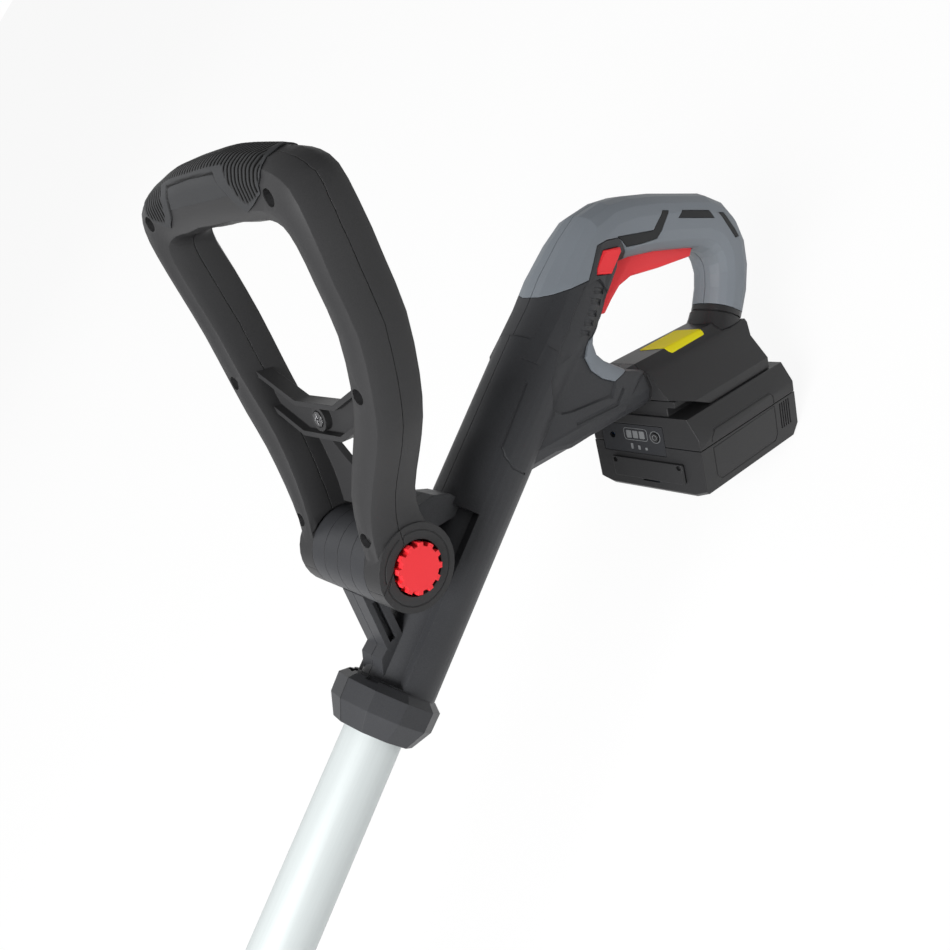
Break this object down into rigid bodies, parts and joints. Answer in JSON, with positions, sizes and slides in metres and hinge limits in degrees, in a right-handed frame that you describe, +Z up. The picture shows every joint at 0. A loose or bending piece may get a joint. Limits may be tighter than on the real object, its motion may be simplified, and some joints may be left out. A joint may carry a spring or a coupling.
{
  "type": "cordless string trimmer",
  "caption": "Cordless string trimmer with a tilting loop handle, rear D grip with trigger, slide-on battery, straight tube and guarded spool head.",
  "frame": {"origin": "centre of the bounding box at floor level, under the tube", "axes": "+X from the cutting head to the rear grip, +Z up, +Y to the left of someone facing +X"},
  "size_m": [1.2724, 0.267, 0.3866],
  "materials": {
    "housing_black": "speckled matte",
    "grip_grey": "soft matte",
    "dark_plastic": "fine matte",
    "soft_black": "ribbed soft",
    "signal_red": "satin",
    "tube_alloy": "satin anodised",
    "steel": "plain",
    "copper_wound": "varnished winding",
    "board_green": "plain",
    "cell_wrap": "wrapped cells",
    "gauge_black": "smooth",
    "spool_grey": "plain",
    "line_red": "wound nylon",
    "lead_black": "cable jacket"
  },
  "bodies": {
    "frame": {"housing_left": "housing_black", "housing_right": "housing_black", "grip_left": "grip_grey", "grip_right": "grip_grey", "corner_liner": "grip_grey", "inlay_band_left": "dark_plastic", "inlay_band_right": "dark_plastic", "inlay_patch_left": "dark_plastic", "inlay_patch_right": "dark_plastic", "inlay_bar_left": "dark_plastic", "inlay_bar_right": "dark_plastic", "battery_dock": "dark_plastic", "post_ring": "dark_plastic", "terminal_block": "dark_plastic", "trigger_switch": "dark_plastic", "trigger_spring": "steel", "controller_board": "board_green", "battery_leads": "lead_black", "motor_lead": "lead_black", "main_tube": "tube_alloy", "motor_housing_left": "housing_black", "motor_housing_right": "housing_black", "motor_can": "steel", "guard": "housing_black", "line_cutter": "steel", "cutter_screw": "steel"},
    "loop_handle": {"handle_front": "housing_black", "handle_rear": "housing_black", "handle_pad": "soft_black", "handle_screw_1": "steel", "handle_screw_2": "steel", "handle_screw_3": "steel", "handle_screw_4": "steel", "handle_screw_5": "steel", "handle_screw_6": "steel", "crossbar_screw": "steel", "hub_ring_left": "housing_black", "hub_ring_right": "housing_black", "hinge_bolt": "steel", "knob_spring": "steel"},
    "lock_knob_body": {"lock_knob": "signal_red"},
    "trigger_body": {"trigger": "signal_red"},
    "lock_off_body": {"lock_off_button": "signal_red"},
    "battery": {"battery_case_lower": "dark_plastic", "battery_case_upper": "dark_plastic", "cell_block": "cell_wrap", "battery_board": "board_green", "gauge_panel": "gauge_black"},
    "latch_body": {"battery_latch": "dark_plastic"},
    "gauge_button_body": {"gauge_button": "grip_grey"},
    "spool_head": {"motor_rotor": "copper_wound", "spool_housing": "housing_black", "spool_cover": "housing_black", "line_eyelet_left": "steel", "line_eyelet_right": "steel", "bump_spring": "steel"},
    "bump_group": {"line_spool": "spool_grey", "cutting_line": "line_red", "bump_cap": "dark_plastic"}
  },
  "joints": [
    {"name": "handle_tilt", "type": "hinge", "parent": "frame", "child": "loop_handle", "pos_m": [0.35574, 0, 0.23372], "axis": [0, 1, 0], "range_deg": [-40, 20]},
    {"name": "knob_press", "type": "slide", "parent": "loop_handle", "child": "lock_knob_body", "axis": [0, 1, 0], "range_m": [0, 0.003], "stiffness_N_per_m": 1500, "springref_m": -0.001},
    {"name": "trigger_squeeze", "type": "hinge", "parent": "frame", "child": "trigger_body", "pos_m": [0.59544, 0, 0.12162], "axis": [0, 1, 0], "range_deg": [0, 4.5], "stiffness_Nm_per_rad": 4, "springref_deg": -2.86},
    {"name": "lock_off_press", "type": "slide", "parent": "frame", "child": "lock_off_body", "axis": [0, 1, 0], "range_m": [-0.0018, 0.0018], "stiffness_N_per_m": 1500},
    {"name": "battery_slide", "type": "slide", "parent": "frame", "child": "battery", "axis": [-0.7483, 0, 0.6634], "range_m": [0, 0.092]},
    {"name": "latch_press", "type": "slide", "parent": "battery", "child": "latch_body", "axis": [-0.6634, 0, -0.7483], "range_m": [0, 0.004], "stiffness_N_per_m": 1200, "springref_m": -0.001},
    {"name": "gauge_press", "type": "slide", "parent": "battery", "child": "gauge_button_body", "axis": [0.7483, 0, -0.6634], "range_m": [0, 0.0006], "stiffness_N_per_m": 2000, "springref_m": -0.0003},
    {"name": "spool_spin", "type": "hinge", "parent": "frame", "child": "spool_head", "pos_m": [-0.57206, 0, 0.14762], "axis": [0.7071, 0, 0.7071], "continuous": true},
    {"name": "bump_press", "type": "slide", "parent": "spool_head", "child": "bump_group", "axis": [0.7071, 0, 0.7071], "range_m": [0, 0.005], "stiffness_N_per_m": 1500, "springref_m": -0.001}
  ]
}
